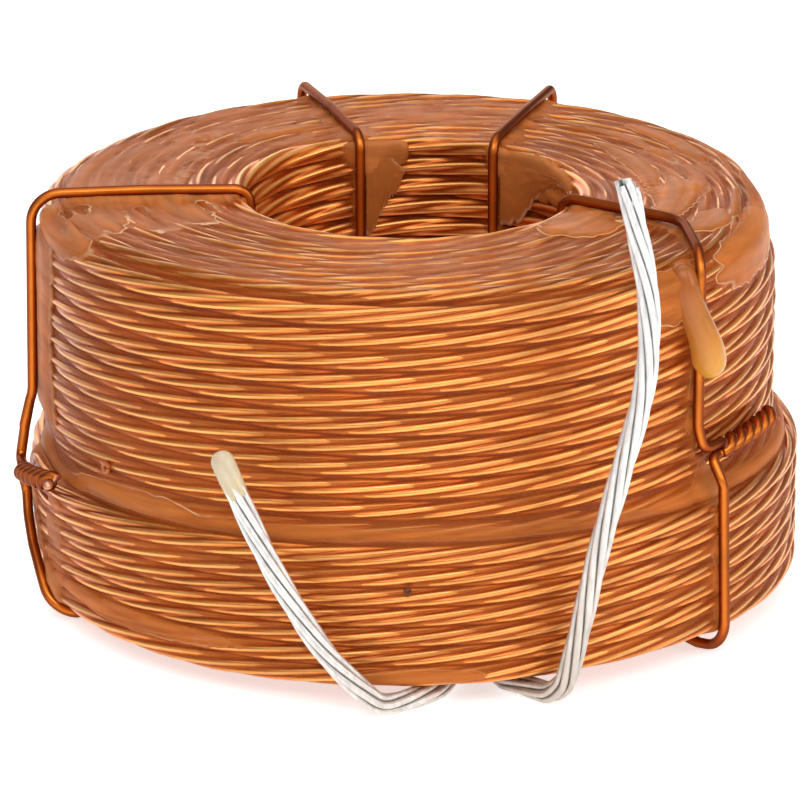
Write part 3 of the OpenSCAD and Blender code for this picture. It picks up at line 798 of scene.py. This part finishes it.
def strandedLead(name, lead, surface, replaces):
    # Seven strands: one in the middle and six round it, left-handed, on a core of tin that fills between them.
    # A groove is where the surface lies well inside the wire's radius; the grooves and the core between the strands
    # get painted shade.
    path = leadPath(lead)
    _, n, m = carriedFrame(path)
    s = np.arange(len(path)) * leads["ringGap"]
    a = leads["wireR"] / 3
    parts, grooves, base = [], [], 0
    for k, short in enumerate(lead["ends"]):
        line, radius, sides = path, a * leads["tight"], leads["strandSides"]
        if k < 6:
            turn = np.radians(60 * k - 360 * s / leads["lay"])
            line = path + 2 * a * (n * np.cos(turn)[:, None] + m * np.sin(turn)[:, None])
        elif k == 7:
            line, radius, sides = path[:-2], a * leads["fill"], leads["coreSides"]
        line = line[:len(line) - short]
        points, quads, tris = tube(line, radius, sides)
        parts.append((points, quads + base, tris + base))
        reach = np.linalg.norm(points[:-2].reshape(len(line), sides, 3) - path[:len(line), None], axis=2)
        inside = np.arange(len(points) - 2) < len(points) - 2 - sides
        # Painted shade: each strand darkens where its surface sinks into the grooves, and the core is dark except at
        # its end.
        grooves += [1 - smoothStep(0.70, 0.86, reach.ravel() / leads["wireR"]) if k < 6 else inside, np.zeros(2)]
        base += len(points)
    points, quads, tris = (np.concatenate(part) for part in zip(*parts))
    points[:, 2] = np.maximum(points[:, 2], 0.005)
    buildMesh(name, points, quads, tris, settled=False, values=dict(grooveShade=np.concatenate(grooves)),
              surface=surface, replaces=replaces, slot="tinned_copper")
    return path


startPath = strandedLead("startLead", leads["start"], startTin, "start_lead")
strandedLead("finishLead", leads["finish"], finishTin, "finish_lead")

bead = dict(length=4.2, sides=28, thin=0.94, thick=0.10, tipR=1.04)


def resinBead(path):
    # Resin over a lead's end: a sleeve that swells from the strands and ends in a half ball.
    away, w = unit(path[-1] - path[-2]), leads["wireR"]
    count = int(bead["length"] / leads["ringGap"])
    rise = np.radians(np.arange(10, 90, 10))
    line = np.concatenate([path[-count:], path[-1] + away * w * np.sin(rise)[:, None]])
    grow = smoothStep(0, 4, np.arange(count)) * bead["thick"] + bead["thin"]
    points, quads, tris = tube(line, np.concatenate([grow * w, w * bead["tipR"] * np.cos(rise)]), bead["sides"])
    tone = np.concatenate([np.repeat(np.linspace(0, 1, len(line)), bead["sides"]), [0, 1]])
    buildMesh("leadBead", points, quads, tris, values=dict(tone=tone), settled=False, surface=beadFinish,
              replaces="start_lead")


resinBead(startPath)
print("leads bent")


# The drip's middle line: millimetres to the right of the tie's leg, below the top and out from the wall; radius.
drip = dict(
    sides=36, line=[(-0.9, 0.3, -1.1, 0.35), (-1.0, 0.8, -0.95, 1.05), (-1.0, 1.9, -0.72, 1.42),
                    (-0.85, 3.4, -0.42, 1.5), (-0.4, 5.1, 0.1, 1.42), (0.1, 6.8, 0.65, 1.45),
                    (0.5, 8.3, 0.95, 1.6), (0.8, 9.6, 1.05, 1.62), (0.95, 10.5, 1.0, 1.35),
                    (1.02, 11.1, 0.95, 0.85), (1.03, 11.3, 0.95, 0.30)])


def hangingDrip():
    # Varnish that wraps the tie's leg and hangs off it: a tube whose radius eases from stop to stop.
    leg = ties["front_right"]["up"]
    right, below, out, radius = np.array(drip["line"]).T[:, :, None]
    stops = polar(wallR + out[:, 0], leg, topZ - below[:, 0]) + polar(1, leg + 90, 0) * right
    line, radius = through(stops, 6), through(radius, 6)[:, 0]
    points, quads, tris = tube(line, radius, drip["sides"])
    tone = np.concatenate([np.repeat(np.linspace(1, 0, len(line)), drip["sides"]), [1, 0]])
    buildMesh("varnishDrip", points, quads, tris, values=dict(tone=tone), surface=dripFinish, replaces="varnish_drip")


hangingDrip()

# Each curtain's stops: azimuth, and the upper and the lower edge in turns below the top.
curtains = dict(
    thick=0.4, clear=0.02, columns=90, rows=24, ragged=(0.28, 0.3),
    left=[(91.6, 1.6, 1.9), (93.6, 1.3, 2.4), (96.6, 0.8, 3), (99.5, 0.6, 3.5), (102, 0.55, 4.4),
          (105.8, 0.55, 4.9)],
    right=[(8, 0.6, 0.9), (20, 0.55, 1), (30.5, 0.55, 1.25), (38.5, 0.55, 2.3), (46, 0.55, 3.4),
           (55.2, 0.55, 3.9)])


def curtain(name, edges, seed):
    # A thin skin across the core's crests between an upper and a lower edge, both ragged, with a rounded rim: its
    # thickness is the root of one less the eighth power of the way from its middle.
    edges = np.array(edges)
    az, u = np.linspace(edges[0, 0], edges[-1, 0], curtains["columns"]), np.linspace(0, 0.99, curtains["columns"])
    high, low = (topZ - coil["pitch"] * np.interp(az, edges[:, 0], edges[:, k]) for k in (1, 2))
    coarse, broad = curtains["ragged"]
    rag = cloud(u, 0 * az, 30, 1, seed) * coarse + cloud(u, 0 * az, 12, 1, seed + 1) * broad
    low = np.clip(low + rag, None, high - 0.3)
    v = np.linspace(0, 1, curtains["rows"])
    z = high[:, None] + (low - high)[:, None] * v[None]
    rim = np.sqrt(np.clip(1 - (2 * v - 1) ** 8, 0, 1))
    wave = cloud(u[:, None] + 0 * v[None], v[None] + 0 * az[:, None], 14, 8, seed + 2)
    outer = boreR - curtains["clear"]
    inner = outer - (curtains["thick"] * rim)[None] * (0.85 + 0.15 * wave)
    front, back = polar(inner, az[:, None], z), polar(outer, az[:, None], z)[:, ::-1]
    points, quads, tris = closedSkin(np.concatenate([front, back], 1))
    across = np.concatenate([v, v[::-1]])
    edge = bell((across - 1) / 0.05) + bell(across / 0.03)
    values = dict(tone=np.concatenate([np.tile(1 - across, len(az)), [0, 0]]),
                  crust=np.concatenate([np.tile(0.8 * edge, len(az)), [0, 0]]))
    buildMesh(name, points, quads, tris, values=values, surface=curtainFinish, replaces="varnish_" + name)


curtain("curtain_left", curtains["left"], 81)
curtain("curtain_right", curtains["right"], 85)

# Each mark: azimuth, height, its ring's radius, distance from the axis, thickness and tone.
marks = dict(
    bubble=(269.0, 11.8, 0.26, beltR + 0.02, 0.13, 0.0),
    loop=(217.0, 17.9, 0.42, wallR - 0.05, 0.22, 1.0))


def smallMarks():
    # A burst bubble on the belt and a strand's end curled on the wall: rings of tube, each in the plane of its place.
    parts, base = [], 0
    for az, z, r, reach, thick, tone in marks.values():
        out, side, up = polar(1, az, 0), polar(1, az + 90, 0), np.array([0, 0, 1])
        t = np.linspace(0.3, 2 * math.pi + 0.25, 28)[:, None]
        line = out * reach + up * z + r * (side * np.cos(t) + up * np.sin(t)) + out * 0.02 * t
        points, quads, tris = tube(line, thick, 12)
        parts.append((points, quads + base, tris + base, np.full(len(points), tone)))
        base += len(points)
    points, quads, tris, tone = (np.concatenate(part) for part in zip(*parts))
    buildMesh("smallMarks", points, quads, tris, values=dict(tone=tone), surface=markFinish)


smallMarks()

web = dict(first=185.6, final=197.5, low=1.4, high=2.6, columns=16, rows=120, thin=0.15, thick=0.70, back=0.4)


def tieWeb():
    # The varnish drawn from the left tie's leg to the wall: its front sinks from the leg to the crests with the
    # power 1.4 of the way, and its rows end in a narrow rim.
    t = np.linspace(0, 1, web["columns"])
    z = np.linspace(beltZ + web["low"], topZ - web["high"], web["rows"])[:, None]
    wave = cloud(0 * t[None] + np.linspace(0, 0.99, web["rows"])[:, None], 0.5 + 0 * z + 0 * t[None], 30, 1, 91)
    reach = web["final"] + 1.5 * wave - 2.5 * bell((z - beltZ - 9) / 5)
    az = web["first"] + t[None] * (reach - web["first"])
    end = np.sqrt(np.clip(1 - np.linspace(-1, 1, web["rows"]) ** 12, 0.02, 1))[:, None]
    r = wallR - 0.1 + (web["thin"] + web["thick"] * (1 - t[None]) ** 1.4 + 0.05 * wave) * end
    back = polar(wallR - web["back"], az, z)[:, ::-1]
    points, quads, tris = closedSkin(np.concatenate([polar(r, az, z), back], 1))
    level = np.concatenate([np.tile(np.concatenate([0.66 - 0.16 * t, 0.5 + 0 * t]), web["rows"]), [0.5, 0.5]])
    crust = np.concatenate([np.tile(np.concatenate([smoothStep(0.93, 1, t), 0 * t]), web["rows"]), [0, 0]])
    buildMesh("tieWeb", points, quads, tris, values=dict(level=level, crust=crust), surface=filmFinish)


tieWeb()
print("drip and curtains hung")


# The camera's distance and aim in millimetres, then the floor, the sky and the soft boxes as place, size and power.
studio = dict(
    distance=486.7, elevation=18.63, aimZ=20.36, lens=225.0, shift=(-0.0115, -0.037),
    paper={"Roughness": 0.6, "Emission Strength": 0.6, "Emission Color": (1, 1, 1, 1)},
    paperScale=30, paperTones=[(0.3, 0.90), (0.7, 0.93)], world=0.32, sky=0.7, skyAngle=70, skyTurn=(20, -12),
    boxes=dict(key=((0.06, -0.60, 0.55), (0.80, 0.30), 2.2),
               fill=((0.60, -0.25, 0.32), (0.30, 0.45), 1.15),
               top=((0.0, 0.10, 0.65), (0.60, 0.50), 1.05),
               back=((-0.25, 0.75, 0.30), (0.90, 0.40), 1.6)))


def makeStudio():
    # A pale floor, a large dim sun as the sky, four soft boxes aimed at the coil's middle, and the camera.
    floor = bpy.data.meshes.new("floor")
    floor.from_pydata([(-3, -3, 0), (3, -3, 0), (3, 3, 0), (-3, 3, 0)], [], [(0, 1, 2, 3)])
    link("floor", floor)
    paper, tree = newFinish("paper", studio["paper"])
    dress(tree, {}, colourRamp(tree, speckle(tree, studio["paperScale"]), studio["paperTones"]))
    floor.materials.append(paper)
    world = bpy.data.worlds.new("studio")
    bpy.context.scene.world = world
    world.use_nodes = True
    sky = world.node_tree.nodes["Background"].inputs
    sky[0].default_value, sky[1].default_value = (1, 1, 1, 1), studio["world"]
    bpy.context.scene.view_settings.view_transform = "Standard"
    sun = bpy.data.lights.new("sky", "SUN")
    sun.energy, sun.angle = studio["sky"], math.radians(studio["skyAngle"])
    link("sky", sun).rotation_euler = (*np.radians(studio["skyTurn"]), 0)
    for name, (spot, size, power) in studio["boxes"].items():
        light = bpy.data.lights.new(name, "AREA")
        light.shape, light.size, light.size_y, light.energy = "RECTANGLE", size[0], size[1], power
        lamp = link(name, light)
        lamp.location = spot
        lamp.rotation_euler = (Vector((0, 0, 0.02)) - Vector(spot)).to_track_quat("-Z", "Y").to_euler()
    camera = bpy.data.cameras.new("camera")
    camera.lens, camera.sensor_width = studio["lens"], 36.0
    camera.shift_x, camera.shift_y = studio["shift"]
    camera.clip_start, camera.clip_end = 0.05, 20
    eye, up = link("camera", camera), math.radians(studio["elevation"])
    back = Vector((0, -math.cos(up), math.sin(up)))
    eye.location = Vector((0, 0, studio["aimZ"] * 0.001)) + back * studio["distance"] * 0.001
    eye.rotation_euler = (-back).to_track_quat("-Z", "Y").to_euler()
    bpy.context.scene.camera = eye


makeStudio()
print("studio set")
